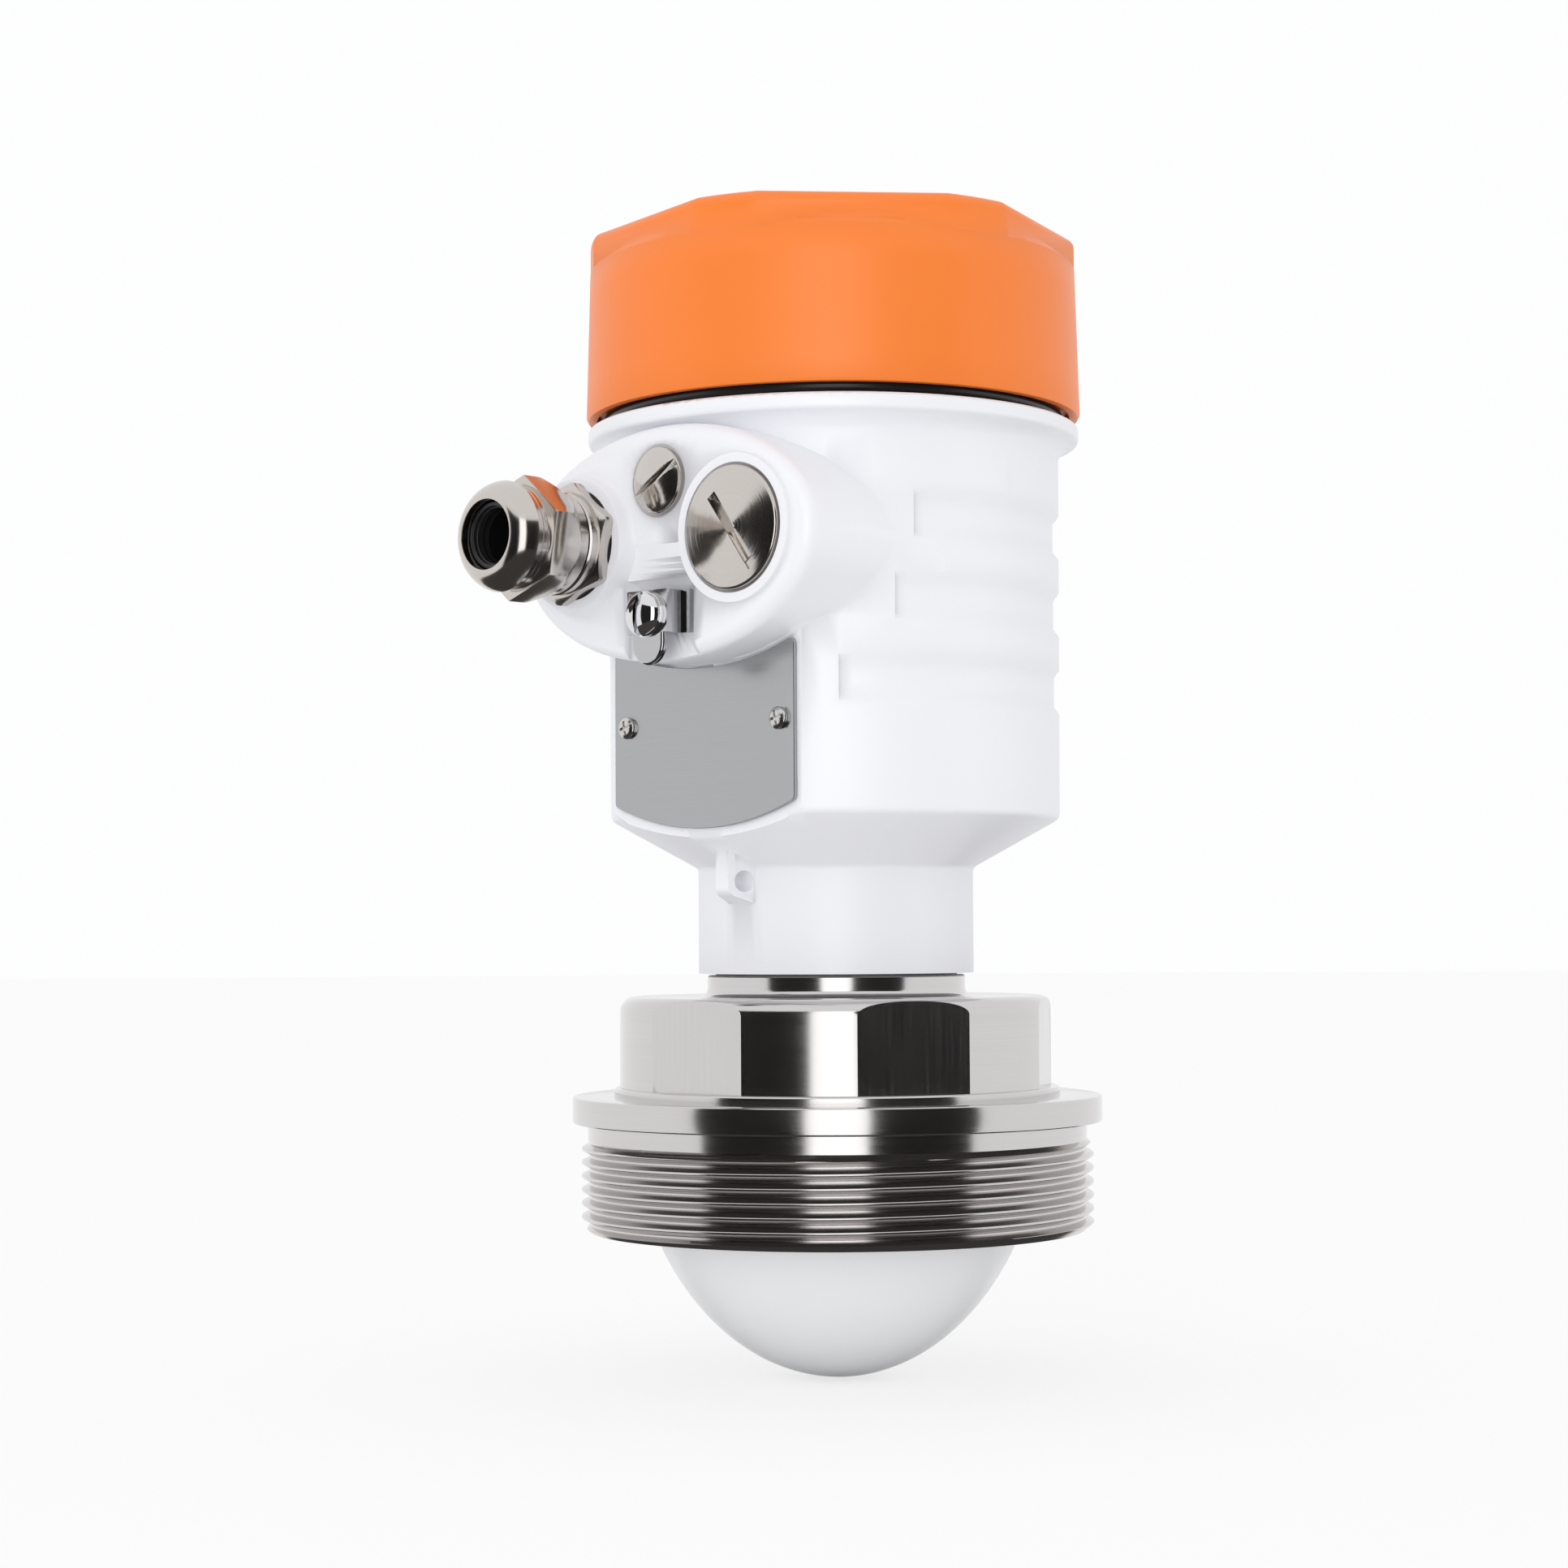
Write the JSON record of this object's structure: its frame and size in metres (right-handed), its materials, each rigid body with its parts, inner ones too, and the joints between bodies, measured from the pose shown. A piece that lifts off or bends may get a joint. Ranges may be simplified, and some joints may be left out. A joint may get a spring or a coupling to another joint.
{
  "type": "radar level sensor",
  "caption": "Compact radar level sensor with a screwed lid, cable gland, swivelling housing, pipe-threaded steel fitting and domed lens.",
  "frame": {"origin": "on the thread axis, level with the underside of the sealing collar", "axes": "+Z along the thread axis towards the lid, -Y the way the cable leaves the gland"},
  "size_m": [0.0908, 0.1112, 0.1962],
  "materials": {
    "stainless_steel": "turned and milled stainless steel",
    "spring_steel": "plain stainless steel",
    "plate_steel": "brushed stainless steel plate",
    "clamp_steel": "bright stamped stainless steel",
    "nickel_brass": "nickel-plated brass",
    "housing_paint": "satin powder coat, bluish white",
    "lid_paint": "satin powder coat, orange",
    "lens_plastic": "white fluoropolymer",
    "black_plastic": "black moulded plastic",
    "slide_plastic": "grey moulded plastic",
    "circuit_board": "solder mask on glass laminate",
    "black_rubber": "black elastomer"
  },
  "bodies": {
    "process": {"process_fitting": "stainless_steel", "stem_seals": "black_rubber", "slide_washer": "slide_plastic", "retaining_clip": "spring_steel", "lens": "lens_plastic", "lens_seal": "black_rubber", "lens_retainer": "spring_steel", "antenna_horn": "nickel_brass", "radar_board": "circuit_board", "shield_can": "nickel_brass"},
    "housing": {"housing_body": "housing_paint", "gland_body": "nickel_brass", "entry_seals": "black_rubber", "blanking_plug": "nickel_brass", "vent_plug": "nickel_brass", "vent_membrane": "lens_plastic", "nameplate": "plate_steel", "nameplate_screws": "spring_steel", "electronics_insert": "black_plastic", "terminal_block": "slide_plastic", "terminal_screws": "spring_steel"},
    "lid_ring": {"lid_seal": "black_rubber"},
    "lid": {"lid": "lid_paint"},
    "gland_insert": {"gland_rubber": "black_rubber", "gland_cage": "black_plastic"},
    "gland_nut": {"gland_nut": "nickel_brass"},
    "earth_plates": {"earth_saddle": "clamp_steel", "earth_tongue": "clamp_steel"},
    "earth_screw": {"earth_screw": "clamp_steel"}
  },
  "joints": [
    {"name": "housing_swivel", "type": "hinge", "parent": "process", "child": "housing", "pos_m": [0, 0, 0.034], "axis": [0, 0, 1], "range_deg": [-165, 165]},
    {"name": "lid_lift", "type": "slide", "parent": "housing", "child": "lid_ring", "axis": [0, 0, 1], "range_m": [0, 0.0091]},
    {"name": "lid_turn", "type": "hinge", "parent": "lid_ring", "child": "lid", "pos_m": [0, 0, 0.136], "axis": [0, 0, 1], "range_deg": [0, 2160]},
    {"name": "gland_slide", "type": "slide", "parent": "housing", "child": "gland_insert", "axis": [0, -1, 0], "range_m": [0, 0.003]},
    {"name": "gland_turn", "type": "hinge", "parent": "gland_insert", "child": "gland_nut", "pos_m": [-0.0172, -0.057, 0.09702], "axis": [0, -1, 0], "range_deg": [0, 725]},
    {"name": "clamp_slide", "type": "slide", "parent": "housing", "child": "earth_plates", "axis": [0, -1, 0], "range_m": [0, 0.0021]},
    {"name": "clamp_turn", "type": "hinge", "parent": "earth_plates", "child": "earth_screw", "pos_m": [0.0004, -0.047, 0.08411], "axis": [0, -1, 0], "range_deg": [0, 1088]}
  ],
  "couplings": [
    {"joint": "lid_lift", "follows": "lid_turn", "m_per_rad": 0.00023873},
    {"joint": "gland_turn", "follows": "gland_slide", "rad_per_m": 4188.8},
    {"joint": "clamp_turn", "follows": "clamp_slide", "rad_per_m": 8976}
  ]
}
